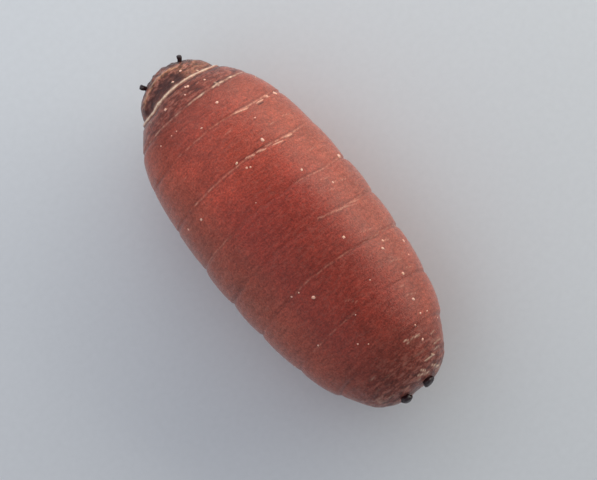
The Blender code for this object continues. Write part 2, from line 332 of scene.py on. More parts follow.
# The spiracles: X, Y and height over the axis, direction, what both of a pair are shifted to the right, and
# outline from the root up, as shares of radius and of length
HORN = SimpleNamespace(
    place=(0.126, 1.229, 0.060), lean=(0.52, 0.62, 0.56), shift=0.0, sides=16, lobes=6, outline=(
        (1.10, -0.30), (1.05, 0.00), (0.98, 0.14), (0.92, 0.28), (0.90, 0.40), (0.92, 0.50), (0.97, 0.60),
        (1.00, 0.70), (1.02, 0.80), (0.94, 0.89), (0.72, 0.96), (0.36, 0.99),
    ),
)
KNOB = SimpleNamespace(
    place=(0.081, -1.2255, 0.070), lean=(0.10, -0.96, 0.20), shift=-0.005, sides=24, lobes=3, outline=(
        (0.95, -0.40), (0.90, 0.00), (0.85, 0.15), (0.86, 0.28), (0.93, 0.42), (0.99, 0.54), (1.00, 0.65),
        (0.96, 0.76), (0.85, 0.86), (0.66, 0.94), (0.36, 0.985),
    ),
)
LOBE_SPREAD = 0.13
SPIRACLE_SMOOTHING = 0.5

# The stage, in millimetres
FLOOR_SIZE = 150.0
FLOOR_DROP = 0.001        # keeps the floor clear of the belly
LENS = 300.0              # a long lens, as through a magnifier
SENSOR = 36.0
NEAREST = 1.0             # what the camera sees, from and to
FARTHEST = 1000.0
BODY_SHIFT = (0.0519, -0.0512)    # from the body's middle to the middle of the picture, right and up
DAYLIGHT_STRENGTH = 0.315
WATTS = 4                 # that a light one metre square needs for a brightness of 1

# Rectangular lights that face the body: name, azimuth and elevation in degrees, distance, width and height in
# millimetres, brightness and colour; azimuth 0 is the body's right and 90 its head end
LIGHTS = (
    ("window_light", 14, 20, 12.0, 25.0, 9.0, 1.88, (1.0, 0.97, 0.86)),
    ("head_light", 85, 44, 6.5, 7.0, 4.0, 0.72, (0.90, 0.94, 1.0)),
    ("fill_light", 160, 48, 12.0, 30.0, 14.0, 0.33, (0.98, 0.96, 1.0)),
)

# Sockets of a Mix node that mixes colours
MIX_SHARE, MIX_FIRST, MIX_SECOND, MIX_RESULT = 0, 6, 7, 2


def linear(hex_colour):
    """A colour given as sRGB hex, as the linear numbers that shaders take."""
    shares = [int(hex_colour[at:at + 2], 16) / 255 for at in (1, 3, 5)]
    return [share / 12.92 if share <= 0.04045 else ((share + 0.055) / 1.055) ** 2.4 for share in shares]


def length(name, description, millimetres):
    """A length property, given in millimetres and kept in metres."""
    return bpy.props.FloatProperty(
        name=name, description=description, default=millimetres * MM, unit="LENGTH", precision=6
    )


def factor(name, description, value):
    return bpy.props.FloatProperty(
        name=name, description=description, default=value, min=0.0, max=1.0, subtype="FACTOR"
    )


def colour(name, description, hex_colour):
    return bpy.props.FloatVectorProperty(
        name=name, description=description, default=linear(hex_colour), size=3, min=0.0, max=1.0,
        subtype="COLOR",
    )


def angle(name, description, degrees):
    return bpy.props.FloatProperty(
        name=name, description=description, default=math.radians(degrees), subtype="ANGLE"
    )


class PupariumSizes(bpy.types.PropertyGroup):
    body_width: length("Body width", "Width without the swell of the segments", 1.083)
    head_reach: length("Head reach", "Where the head curve would meet the middle line", 1.205)
    tail_reach: length("Tail reach", "Where the tail curve meets the middle line", 1.243)
    head_rim: length("Head rim", "The pale rim behind the head cap, from the middle of the body", 1.095)
    cap_length: length("Cap length", "The head cap in front of the rim", 0.188)
    cap_width: length("Cap width", "The head cap at the rim", 0.546)
    belly_depth: length("Belly depth", "What the flattened belly takes off the round section", 0.040)
    body_flatness: factor("Body flatness", "Height of the section over its width", 0.92)
    cap_flatness: factor("Cap flatness", "Height of the head cap's front over its width", 0.80)
    groove: length("Groove", "Depth of the line between two segments", 0.007)
    groove_reach: length("Groove reach", "How far a groove spreads along the body", 0.016)
    lip: length("Lip", "How far a segment's rear edge stands over the next one", 0.003)
    crease: length("Crease height", "How far a pale crease stands over the skin", 0.0035)
    rim_height: length("Rim height", "Height of the pale rim behind the head cap", 0.006)
    cap_hollow: length("Cap hollow", "Depth of the sunken top of the head cap", 0.020)
    cap_ridge: length("Cap ridge", "Height of the ridge in front of the hollow", 0.007)
    wrinkle: length("Wrinkles", "Crumpling of the head cap and the tail", 0.007)
    skin_wave: length("Skin wave", "The skin's slow unevenness", 0.004)
    ring_wave: length("Ring wave", "How far the segment lines stray along the body", 0.006)
    mouth_fold: length("Mouth folds", "Depth of the folds on the very front of the head cap", 0.021)
    ring_sag: length("Ring sag", "How far the segment lines bow towards the tail at the flanks", 0.014)
    right_sag: length("Right sag", "How much further the lines bow high on the right flank", 0.022)
    shoulder: length("Shoulder", "How much the left shoulder is flatter than the right", 0.014)
    stria: length("Striae", "Depth of the fine lines across the back", 0.0009)
    fine_step: length("Fine step", "Mesh spacing along the body at the segment lines", 0.0036)
    coarse_step: length("Coarse step", "Mesh spacing along the body between the lines", 0.0068)
    sides: bpy.props.IntProperty(name="Sides", description="Faces round the body", default=216, min=8)


class SpiracleSizes(bpy.types.PropertyGroup):
    horn_length: length("Horn length", "Front spiracle", 0.054)
    horn_radius: length("Horn radius", "Front spiracle", 0.0162)
    knob_length: length("Knob length", "Rear spiracle", 0.050)
    knob_radius: length("Knob radius", "Rear spiracle", 0.036)


class PupariumColours(bpy.types.PropertyGroup):
    head_skin: colour("Head skin", "Dull red-brown behind the head rim", "#863A2C")
    back_skin: colour("Back skin", "Clear red of the upper back", "#AA4330")
    waist_skin: colour("Middle skin", "Deep red of the middle", "#9C3628")
    rear_skin: colour("Rear skin", "Maroon of the rear half", "#943527")
    tail_skin: colour("Tail skin", "Dark brown of the tail", "#7C3A2D")
    flank: colour("Flanks", "Tan that the flanks lean towards", "#B26A55")
    cap: colour("Head cap", "Brown of the head cap", "#7E4032")
    cap_tan: colour("Head cap ridge", "Tan of the head cap's ridge", "#BC845F")
    # Painted highlight on the crests of crumpled skin
    fold: colour("Folds", "Dull pink of the crests where the skin is crumpled", "#CA8674")
    rim: colour("Rim", "Pale cream of the head rim and the first crease", "#FCD8BA")
    # Pale pink of the creases, partly a painted highlight on their crests; the grains take it for their spots
    # too
    crease: colour("Crease", "Pale pink of the creases on the back", "#F8B69A")
    # Painted shade in the grooves, the troughs and the head cap's hollow, and the dark of streaks and folds;
    # it also spots the spiracles
    shade_and_dark_marks: colour("Stain", "Dark lines in the grooves and on the head cap", "#330F12")
    spiracle: colour("Spiracle", "Black horns and knobs", "#1C1A1F")
    grain: colour("Grain", "Pale dust grains", "#F6C8B4")


class StageSettings(bpy.types.PropertyGroup):
    view_width: length("View width", "Width of the picture where the body lies", 3.6417)
    tilt: angle("Tilt", "How far the camera leans from straight down, towards the tail", 7.5)
    turn: angle("Turn", "How far the head end is turned left of the picture's top", 39.1)
    floor: colour("Floor", "Pale plain floor", "#DFE3E7")
    daylight: colour("Daylight", "Colour of the light from all round", "#F0F5FF")


def in_millimetres(group):
    """A property group's values as plain numbers, with its lengths in millimetres."""
    values = {}
    for prop in group.bl_rna.properties:
        if prop.type in ("FLOAT", "INT"):
            value = getattr(group, prop.identifier)
            values[prop.identifier] = value / MM if prop.unit == "LENGTH" else value
    return SimpleNamespace(**values)


def near(value, centre, reach):
    """A bell: 1 at the centre and close to 0 two reaches away."""
    return math.exp(-(((value - centre) / reach) ** 2))


def between(value, low, high, blur):
    """A span: close to 1 from low to high, with soft ends."""
    return 1 / (1 + math.exp((low - value) / blur)) / (1 + math.exp((value - high) / blur))


def held(value, low, high):
    return min(max(value, low), high)


def arch(share):
    """A round arch over a stretch: 0 at both its ends and 1 in its middle."""
    return math.sqrt(4 * share * (1 - share))


def bumps(point, pattern, further=0.0):
    """One of the smooth noises at a point, either way of 0 by up to its swing."""
    *often, shift, swing = pattern
    place = Vector([along * count + shift + further for along, count in zip(point, often)])
    return swing * noise.noise(place)


def around(point):
    """A point's distance from the body's axis, and how far of that it lies to the right and up."""
    x, _, z = point
    radius = max(math.hypot(x, z), MERGE)
    return radius, x / radius, z / radius


def rounded_end(share, curve):
    """Half-width of a rounded end as a share of its root, at a share of its length."""
    bow, ease = curve
    return (1.0 - min(share, 1.0) ** bow) ** (1.0 / ease)


def ring_places(form):
    """Where the lines between segments lie along the body, from the head rim to the tail."""
    places = [form.head_rim]
    for segment in SEGMENT_LENGTHS:
        places.append(places[-1] - segment)
    return places


def nearest_line(y, rings):
    """How far in front of the nearest segment line y lies, and the line's number."""
    return min(((y - ring, number) for number, ring in enumerate(rings)), key=lambda found: abs(found[0]))


def smooth_half_width(form, y):
    """Half-width of the body's smooth outline, behind the head cap."""
    if y > 0:
        return form.body_width / 2 * rounded_end(y / form.head_reach, HEAD_CURVE)
    return form.body_width / 2 * rounded_end(-y / form.tail_reach, TAIL_CURVE)


def swell_at(y, rings):
    """How far a segment bulges out of the smooth outline at y."""
    for front, back, full in zip(rings, rings[1:], SEGMENT_SWELLS):
        if back <= y <= front:
            return full * arch((front - y) / (front - back))
    return 0.0


def body_outline(form):
    """The turned outline as (radius, y), from the front of the cap to the tip of the tail."""
    rings = ring_places(form)
    points = [(0.0, form.head_rim + form.cap_length)]
    rows = round(form.cap_length / form.coarse_step * CAP_CLOSENESS)
    for row in range(1, rows):
        share = math.cos(math.pi / 2 * row / rows) ** CAP_ROW_EASE
        width = form.cap_width / 2 * rounded_end(share, CAP_CURVE)
        points.append((width, form.head_rim + form.cap_length * share))
    y = form.head_rim + form.fine_step * 2
    while y > -form.tail_reach * TAIL_START:
        points.append((smooth_half_width(form, y) + swell_at(y, rings), y))
        close = abs(nearest_line(y, rings)[0]) < form.groove_reach * FINE_BAND
        y -= form.fine_step if close else form.coarse_step
    last = y / -form.tail_reach
    for row in range(TAIL_ROWS):
        share = 1 - (1 - last) * (1 - row / TAIL_ROWS) ** 2
        points.append((smooth_half_width(form, -form.tail_reach * share), -form.tail_reach * share))
    return points + [(0.0, -form.tail_reach)]


def turned(outline, sides):
    """A closed mesh turned about Z from (radius, height) points that start and end on the axis."""
    bm = bmesh.new()
    line = [bm.verts.new((radius, 0.0, height)) for radius, height in outline]
    edges = [bm.edges.new(pair) for pair in zip(line, line[1:])]
    bmesh.ops.spin(
        bm, geom=line + edges, axis=(0, 0, 1), cent=(0, 0, 0), angle=2 * math.pi, steps=sides, use_merge=True
    )
    bmesh.ops.remove_doubles(bm, verts=bm.verts, dist=MERGE)
    bmesh.ops.recalc_face_normals(bm, faces=bm.faces)
    return bm


def axis_height(form):
    return form.body_width / 2 * form.body_flatness - form.belly_depth


def crumple(form, y):
    """How strongly the skin is crumpled at y: on the head cap and round the tail."""
    on_cap = near(y, form.head_rim + form.cap_length * CAP_CRUMPLE_PLACE, CAP_CRUMPLE_REACH)
    return max(on_cap, TAIL_CRUMPLE * near(y, -form.tail_reach, TAIL_CRUMPLE_REACH))


def line_strength(point, number):
    """How clearly a segment line shows at a point: strong on the flanks, faint and broken on the back."""
    _, side, _ = around(point)
    shown = held(LINE_SHOWN + bumps(point, LINE_BREAKS, number * LINE_SHIFT), LINE_LEAST, 1.0)
    return shown * (LINE_ON_BACK + (1 - LINE_ON_BACK) * side * side)


def crease_strength(point, rings):
    """How clearly a pale crease stands out at a point of the back, and how far it lies from its line."""
    x, y, z = point
    if z < 0:
        return 0.0, 1.0
    gap, number = nearest_line(y, rings)
    found = [
        strength * between(x, low, high, CREASE_BLUR)
        for at, low, high, strength in CREASES if at == number
    ]
    return max(found, default=0.0), gap + bumps(point, CREASE_STRAY)


def line_relief(form, point, rings):
    """A segment's raised rear edge and the groove behind it."""
    gap, number = nearest_line(point[1], rings)
    if abs(gap) > form.groove_reach * LINE_CUT:
        return 0.0
    if number == 0:
        return form.rim_height * near(gap, *RIM_CREST) - form.groove * near(gap, *RIM_TROUGH)
    groove = form.groove * near(gap / form.groove_reach, GROOVE_PLACE, 1.0)
    lip = form.lip * near(gap / form.groove_reach, *LIP_BELL)
    relief = (lip - groove) * line_strength(point, number)
    crease, gap = crease_strength(point, rings)
    crest = near(gap, *CREASE_CREST) - CREASE_TROUGH_DEPTH * near(gap, *CREASE_TROUGH)
    return relief + crease * form.crease * crest


def line_at(x, path):
    """The height of a line of (x, y) points at x."""
    for (x1, y1), (x2, y2) in zip(path, path[1:]):
        if x <= x2:
            share = (max(x, x1) - x1) / (x2 - x1)
            return y1 + (y2 - y1) * share
    return path[-1][1]


def stroke(x, y, line, width=1.0):
    """How near a point lies to a short stroke that thins out at both ends."""
    x1, y1, x2, y2 = line
    along = ((x - x1) * (x2 - x1) + (y - y1) * (y2 - y1)) / ((x2 - x1) ** 2 + (y2 - y1) ** 2)
    share = held(along, 0.0, 1.0)
    away = math.hypot(x - x1 - share * (x2 - x1), y - y1 - share * (y2 - y1))
    return near(away, 0.0, width * (STROKE_TIP + STROKE_BELLY * arch(share)))


def crinkle_mark(point):
    """How pale and raised a crinkle is at a point of the back; its paleness is partly painted highlight."""
    x, y, z = point
    if z < 0:
        return 0.0
    x += bumps(point, CRINKLE_STRAY_X)
    y += bumps(point, CRINKLE_STRAY_Y)
    return max(
        strength * stroke(x, y, line, CRINKLE_WIDTH + (1 - CRINKLE_WIDTH) * strength)
        for *line, strength in CRINKLES
    )


def cap_ridge_mark(form, point):
    """The tan ridge that bows across the head cap in front of its hollow."""
    x, y, z = point
    if z < 0 or y < form.head_rim:
        return 0.0
    y += bumps(point, RIDGE_STRAY)
    return near(y, line_at(x, CAP_RIDGE), RIDGE_REACH) * between(x, *RIDGE_SPAN)


def cap_hollow_mark(form, point):
    """The dark sunken band between the head cap's ridge and the rim."""
    x, y, z = point
    if z < 0 or y < form.head_rim:
        return 0.0
    y += bumps(point, HOLLOW_STRAY)
    front = line_at(x, CAP_HOLLOW_FRONT)
    return between(y, form.head_rim + HOLLOW_BACK, front, HOLLOW_BLUR) * between(x, *HOLLOW_SPAN)


def relief(form, point, rings):
    """How far the skin stands out from the turned outline at a point."""
    y = point[1]
    radius, side, up = around(point)
    rough = crumple(form, y)
    wrinkle = bumps(point, WRINKLES) * rough
    pucker = bumps(point, PUCKERS) * (rough + PUCKERS_ELSEWHERE)
    crackle = bumps(point, CRACKLE) * (rough + CRACKLE_ELSEWHERE)
    uneven = form.wrinkle * (wrinkle + pucker + crackle) + form.stria * bumps(point, STRIAE)
    uneven += form.skin_wave * bumps(point, SKIN_WAVES)
    out = uneven * min(radius / POLE_CALM, 1.0)
    out += line_relief(form, point, rings) + CRINKLE_HEIGHT * crinkle_mark(point)
    out -= BACK_EVENNESS * swell_at(y, rings) * max(up, 0.0)
    return out - form.shoulder * near(y, *SHOULDER_BELL) * max(-side, 0.0) ** 2


def stray_along(form, point, in_cap):
    """How far a point strays towards the head: the bow of the lines and the rim, and the mouth's folds."""
    x, y, z = point
    radius, side, up = around(point)
    stray = form.ring_wave * bumps(point, RING_STRAY) - form.ring_sag * side * side * (1 - in_cap)
    stray *= min(radius / POLE_CALM, 1.0)
    stray += form.mouth_fold * bumps(point, MOUTH_FOLDS) * in_cap ** MOUTH_EASE
    if z > 0:
        stray -= form.right_sag * near(side, *RIGHT_SAG_BELL) * between(y, *RIGHT_SAG_SPAN)
        stray += line_at(x, RIM_BOW) * near(y, form.head_rim, RIM_BOW_REACH) * up
    return stray


def shaped(form, point, rings):
    """A point of the turned body moved to where the living shape has it."""
    x, y, z = point
    if math.hypot(x, z) < MERGE:
        return Vector((0.0, y, axis_height(form)))
    radius, side, up = around(point)
    in_cap = held((y - form.head_rim) / form.cap_length, 0.0, 1.0)
    grown = radius + relief(form, point, rings)
    hollow = form.cap_hollow * max(up, 0.0) ** 2 * near(in_cap, *CAP_HOLLOW_BELL)
    hollow += HOLLOW_STEP * cap_hollow_mark(form, point) - form.cap_ridge * cap_ridge_mark(form, point)
    flatness = form.body_flatness + (form.cap_flatness - form.body_flatness) * in_cap
    height = axis_height(form) + up * grown * flatness - hollow
    return Vector((side * grown, y + stray_along(form, point, in_cap), max(height, 0.0)))


def pale_mark(form, point, rings):
    """How pale the skin is at a point of the turned body: the head rim, and the creases and crinkles, which
    are partly painted highlight.
    """
    y = point[1]
    _, _, up = around(point)
    worn = RIM_SHOWN + bumps(point, RIM_BREAKS)
    worn *= RIM_ON_BELLY + (1 - RIM_ON_BELLY) * between(up, *RIM_UPPER_SPAN)
    rim = near(y + bumps(point, RIM_STRAY), form.head_rim, RIM_WIDTH + bumps(point, RIM_BREADTH)) * worn
    crease, gap = crease_strength(point, rings)
    crease *= near(gap, CREASE_CREST[0], CREASE_WIDTH + CREASE_WIDENING * crease)
    crease *= max(CREASE_SHOWN + bumps(point, CREASE_BREAKS), CREASE_LEAST)
    folds = PALE_FOLD * (bumps(point, PALE_FOLDS) - PALE_FOLD_START) * crumple(form, y) if y < 0 else 0.0
    return held(max(rim, crease, crinkle_mark(point), folds), 0.0, 1.0)


def line_shade(point, rings):
    """Painted shade: how dark the skin is in the grooves and beside the creases."""
    gap, number = nearest_line(point[1], rings)
    if number == 0:
        return 0.0
    groove = sum(shade * near(gap, centre, reach) for centre, reach, shade in GROOVE_SHADES)
    crease, gap = crease_strength(point, rings)
    beside = [shade * crease * near(gap, centre, reach) for centre, reach, shade in CREASE_SHADES]
    return max(groove * line_strength(point, number), *beside)


def rim_shade(form, point):
    """Painted shade in the trough close behind the head rim, and the dark folds: painted shade beside the
    creases and dark marks behind the rim's right end.
    """
    x, y, z = point
    shades = [(RIM_SHADE + bumps(point, RIM_SHADE_BREAKS)) * near(y - form.head_rim, *RIM_SHADE_BELL)]
    if z > 0:
        y += bumps(point, DARK_FOLD_STRAY)
        shades += [strength * stroke(x, y, line) for *line, strength in DARK_FOLDS]
    return max(shades)


def cap_shade(form, point):
    """How dark the head cap is: at its front edge, in its hollow, in its corners and where it is widest;
    partly its own dark skin and partly painted shade, most in the sunken hollow and the corners.
    """
    x, y, z = point
    ahead = y - form.head_rim
    shades = [0.0]
    if z > 0 and ahead > 0:
        patches = held(HOLLOW_SHADE + bumps(point, HOLLOW_PATCHES), *HOLLOW_SHADES)
        shades.append(near(y, line_at(x, CAP_FRONT), CAP_EDGE_REACH) * between(abs(x), *CAP_EDGE_SPAN))
        shades.append(cap_hollow_mark(form, point) * patches)
        for at_x, wide, at_y, tall, shade in CAP_CORNERS:
            shades.append(shade * near(x, at_x, wide) * near(ahead, at_y, tall))
    if CAP_FLANK[0] < ahead < CAP_FLANK[1]:
        side = abs(around(point)[1])
        shades.append(CAP_FLANK_SHADE * between(side, *CAP_FLANK_SIDE) * between(ahead, *CAP_FLANK_SPAN))
    return max(shades)


def dark_mark(form, point, rings):
    """How dark the skin is at a point of the turned body: painted shade in the grooves, troughs and head cap,
    and dark streaks and folds.
    """
    y = point[1]
    streaks = STREAK_SHADE * max(bumps(point, STREAKS) - STREAK_START, 0.0)
    streaks *= between(y, rings[1], form.head_rim - STREAK_FRONT, STREAK_BLUR)
    fold_shade = CAP_FOLD_SHADE if y > 0 else TAIL_FOLD_SHADE
    folds = fold_shade * (bumps(point, DARK_CRUMPLES) - DARK_FOLD_START) * crumple(form, y)
    dark = max(line_shade(point, rings) + streaks, rim_shade(form, point), cap_shade(form, point), folds)
    return held(dark, 0.0, 1.0) * (1 - RIDGE_CLEAR * cap_ridge_mark(form, point))


def tan_mark(form, point):
    """How tan the head cap is at a point: along its ridge, and in patches on its right."""
    x, y, _ = point
    if y < form.head_rim:
        return 0.0
    patches = between(x, *PATCH_SPAN) * (PATCH_SHOWN + bumps(point, TAN_PATCHES))
    return held(max(RIDGE_TAN * cap_ridge_mark(form, point), PATCH_TAN * patches), 0.0, 1.0)


def tone_mark(point):
    """How much lighter or darker than its zone the skin is at a point, 1 being alike; partly painted glow and
    shade.
    """
    x, y, _ = point
    x += bumps(point, TONE_STRAY_X)
    y += bumps(point, TONE_STRAY_Y)
    return 1 + sum(
        more * near(x, at_x, wide) * near(y, at_y, tall)
        for at_x, at_y, wide, tall, more in TONE_AREAS
    )


def rough_mark(form, point, rings):
    """How blotched and crumpled the skin is: most on the head cap, less behind its rim and on the flanks."""
    x, y, _ = point
    ends = crumple(form, y) * (ROUGH_CAP if y > 0 else ROUGH_TAIL)
    behind_rim = ROUGH_BEHIND_RIM * between(y, rings[1], form.head_rim, ROUGH_BLUR)
    flank = ROUGH_FLANK * min(abs(x) / (form.body_width / 2), 1.0) ** 2
    return held(max(ends, behind_rim, flank), ROUGH_LEAST, 1.0)


def store(mesh, name, values):
    """Keeps one number for each vertex, for the material to read."""
    attribute = mesh.attributes.new(name, "FLOAT", "POINT")
    attribute.data.foreach_set("value", values)


def to_object(bm, name, material):
    """Makes an object of a shape worked out in millimetres."""
    bmesh.ops.scale(bm, vec=(MM, MM, MM), verts=bm.verts)
    mesh = bpy.data.meshes.new(name)
    bm.to_mesh(mesh)
    bm.free()
    mesh.materials.append(material)
    mesh.shade_smooth()
    piece = bpy.data.objects.new(name, mesh)
    bpy.context.scene.collection.objects.link(piece)
    return piece


def belongs(piece):
    """Says that a piece is part of the puparium and stands for its plain solid."""
    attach(piece, "root")
    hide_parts(NODE)


def keep_inside(bm, box):
    """Holds every vertex of a shape in millimetres inside a box in metres."""
    low, high = box
    for vert in bm.verts:
        vert.co = [held(along, least / MM, most / MM) for along, least, most in zip(vert.co, low, high)]


def per_mm(count):
    """A texture's scale for so many repeats a millimetre, as Object coordinates are in metres."""
    return count / MM


def rgba(values):
    return (*values, 1.0)


def add(tree, kind, inputs=None, stops=None, **settings):
    """Adds a node with its settings, links and values; stops are a colour ramp's places and colours."""
    new = tree.nodes.new(kind)
    for name, value in settings.items():
        setattr(new, name, value)
    for socket, value in (inputs or {}).items():
        if isinstance(value, bpy.types.NodeSocket):
            tree.links.new(value, new.inputs[socket])
        else:
            new.inputs[socket].default_value = value
    if stops:
        elements = new.color_ramp.elements
        while len(elements) < len(stops):
            elements.new(0.5)
        for element, (place, value) in zip(elements, stops):
            element.position = place
            element.color = value
    return new


def new_material(name):
    """A material with its nodes, its shader and its Object coordinates."""
    material = bpy.data.materials.new(name)
    material.use_nodes = True
    tree = material.node_tree
    return material, tree, tree.nodes["Principled BSDF"], add(tree, "ShaderNodeTexCoord").outputs["Object"]


def skin_textures(tree, place):
    """The patterns that the skin's colour and relief share."""
    # Mottles 0.1 mm across, striae 0.02 mm apart across the back, specks 0.01 mm and blotches 0.03 mm across
    across, stretched = (
        add(tree, "ShaderNodeMapping", {"Vector": place, "Scale": (share, 1.0, share)}).outputs["Vector"]
        for share in (0.22, 0.45)
    )
    found = {}
    for name, vector, count, detail, roughness in (
        ("patches", place, 16, 5.0, 0.7),
        ("mottle", place, 7, 6.0, 0.65),
        ("striae", across, 48, 4.0, 0.5),
        ("specks", place, 82, 3.0, 0.75),
        ("blotches", stretched, 52, 4.0, 0.65),
    ):
        inputs = {"Vector": vector, "Scale": per_mm(count), "Detail": detail, "Roughness": roughness}
        found[name] = add(tree, "ShaderNodeTexNoise", inputs).outputs["Fac"]
    for name in ("pale", "dark", "tan", "rough", "tone"):
        found[name] = add(tree, "ShaderNodeAttribute", attribute_name=name).outputs["Fac"]
    return SimpleNamespace(**found)


def mixed(tree, share, first, second):
    """A colour between two others."""
    inputs = {MIX_SHARE: share, MIX_FIRST: first, MIX_SECOND: second}
    return add(tree, "ShaderNodeMix", inputs, data_type="RGBA").outputs[MIX_RESULT]


def ranged(tree, value, start, end, low=0.0, high=1.0):
    """A value's stretch from start to end spread over low to high, and held there."""
    inputs = {"Value": value, "From Min": start, "From Max": end, "To Min": low, "To Max": high}
    return add(tree, "ShaderNodeMapRange", inputs).outputs["Result"]


def product(tree, first, second, **settings):
    inputs = {0: first, 1: second}
    return add(tree, "ShaderNodeMath", inputs, operation="MULTIPLY", **settings).outputs["Value"]


def raised(tree, strength, height, micrometres, normal=None):
    """A bump as high as the micrometres say, over another bump if there is one."""
    inputs = {"Strength": strength, "Distance": micrometres * MICROMETRE * MM, "Height": height}
    if normal is not None:
        inputs["Normal"] = normal
    return add(tree, "ShaderNodeBump", inputs).outputs["Normal"]


def ramp(tree, along, stops):
    """Colours that change along the body."""
    stops = [(place, rgba(tint)) for place, tint in stops]
    return add(tree, "ShaderNodeValToRGB", {"Fac": along}, stops=stops).outputs["Color"]


def set_sockets(shader, values):
    for name, value in values.items():
        shader.inputs[name].default_value = value


def zone_colour(tree, textures, tints, xyz, along):
    """The skin's zones along the body, with tanner flanks and the tan of the head cap."""
    zones = ramp(tree, along, (
        (0.02, tints.tail_skin), (0.22, tints.rear_skin), (0.42, tints.rear_skin), (0.54, tints.waist_skin),
        (0.68, tints.back_skin), (0.80, tints.back_skin), (0.88, tints.head_skin), (0.94, tints.cap),
    ))
    outward = add(tree, "ShaderNodeMath", {0: xyz["X"]}, operation="ABSOLUTE").outputs["Value"]
    flank = ranged(tree, outward, 0.22 * MM, 0.54 * MM, 0.0, 0.62)
    patchy = product(tree, flank, ranged(tree, textures.patches, 0.35, 0.65, 0.8, 1.2))
    return mixed(tree, textures.tan, mixed(tree, patchy, zones, rgba(tints.flank)), rgba(tints.cap_tan))


def patterned(tree, textures, tints, tone):
    """A colour made uneven by the mottles, striae and specks, and blotched where the skin is crumpled: darker
    in the blotches' low parts as painted shade and pale pink on their crests as painted highlight.
    """
    shares = [
        ranged(tree, pattern, 0.32, 0.68, low, high)
        for pattern, low, high in (
            (textures.mottle, 0.86, 1.14), (textures.striae, 0.88, 1.12), (textures.specks, 0.60, 1.38),
        )
    ]
    # The blotches also make the crumpled relief: their low parts get painted shade and their crests a painted
    # highlight
    darker = ranged(tree, textures.blotches, 0.38, 0.50, -0.88, 0.0)
    blotch = add(tree, "ShaderNodeMath", {0: darker, 1: textures.rough, 2: 1.0}, operation="MULTIPLY_ADD")
    for share in (*shares, textures.tone, blotch.outputs["Value"]):
        toned = add(tree, "ShaderNodeVectorMath", {0: tone, 1: share}, operation="MULTIPLY")
        tone = toned.outputs["Vector"]
    lit = product(tree, ranged(tree, textures.blotches, 0.50, 0.62), textures.rough)
    return mixed(tree, lit, tone, rgba(tints.fold))


def creased(tree, textures, tints, tone, along):
    """A colour with the dark lines, mostly painted shade, and the pale creases, partly painted highlight,
    laid over it; the specks break the creases up.
    """
    shaded_and_marked = mixed(tree, textures.dark, tone, rgba(tints.shade_and_dark_marks))
    worn = ranged(tree, textures.specks, 0.30, 0.65, 0.55, 1.15)
    share = product(tree, textures.pale, worn, use_clamp=True)
    paleness = ramp(
        tree, along, ((0.06, tints.rim), (0.24, tints.crease), (0.82, tints.crease), (0.86, tints.rim))
    )
    return mixed(tree, share, shaded_and_marked, paleness)


def skin_material(tints):
    """Hardened larval skin, dried to a tough tanned shell: a soft semi-gloss over deep, uneven red-brown."""
    material, tree, shader, place = new_material("tanned_larval_skin")
    textures = skin_textures(tree, place)
    xyz = add(tree, "ShaderNodeSeparateXYZ", {"Vector": place}).outputs
    along = ranged(tree, xyz["Y"], -1.25 * MM, 1.28 * MM)
    tone = zone_colour(tree, textures, tints, xyz, along)
    tone = patterned(tree, textures, tints, tone)
    tree.links.new(creased(tree, textures, tints, tone, along), shader.inputs["Base Color"])
    # The striae and pores of the cuticle stand out a little, and the blotches of crumpled skin the most
    ridges = raised(tree, 1.0, textures.striae, 2.2)
    grainy = raised(tree, 1.0, textures.specks, 2.4, ridges)
    tree.links.new(raised(tree, textures.rough, textures.blotches, 10.0, grainy), shader.inputs["Normal"])
    tree.links.new(ranged(tree, textures.mottle, 0.3, 0.7, 0.32, 0.48), shader.inputs["Roughness"])
    set_sockets(shader, {
        "IOR": 1.42, "Sheen Weight": 0.26, "Sheen Roughness": 0.3,
        "Subsurface Weight": 0.10, "Subsurface Radius": (1.0, 0.3, 0.2), "Subsurface Scale": 0.03 * MM,
    })
    return material


def spotted(tree, shader, place, count, first, second):
    """Gives a shader two colours in spots, so many a millimetre; returns the pattern."""
    inputs = {"Vector": place, "Scale": per_mm(count), "Detail": 2.0}
    spots = add(tree, "ShaderNodeTexNoise", inputs).outputs["Fac"]
    tree.links.new(mixed(tree, spots, rgba(first), rgba(second)), shader.inputs["Base Color"])
    return spots


def spiracle_material(tints):
    """Black, hard breathing horns: sclerotised cuticle, smooth enough for small sharp highlights."""
    material, tree, shader, place = new_material("black_sclerotised_cuticle")
    # Lumps about 0.01 mm across
    lumps = spotted(tree, shader, place, 90, tints.spiracle, tints.shade_and_dark_marks)
    tree.links.new(raised(tree, 0.6, lumps, 3.0), shader.inputs["Normal"])
    set_sockets(shader, {"Roughness": 0.28, "IOR": 1.5})
    return material


def grain_material(tints):
    """Mineral dust: cream grains that let some light through, with dull broken faces."""
    material, tree, shader, place = new_material("mineral_dust")
    # Patches 0.025 mm across, so that one grain differs from the next
    spotted(tree, shader, place, 40, tints.grain, tints.crease)
    set_sockets(shader, {"Roughness": 0.35, "Subsurface Weight": 0.2, "Subsurface Scale": 0.008 * MM})
    return material


def floor_material(tint):
    """Matt coated card: even and without gloss, so the floor stays plain."""
    material, tree, shader, place = new_material("matt_card")
    # The card's tooth, 0.04 mm across
    spotted(tree, shader, place, 25, tint, [0.94 * part for part in tint])
    set_sockets(shader, {"Roughness": 0.9, "Specular IOR Level": 0.1})
    return material


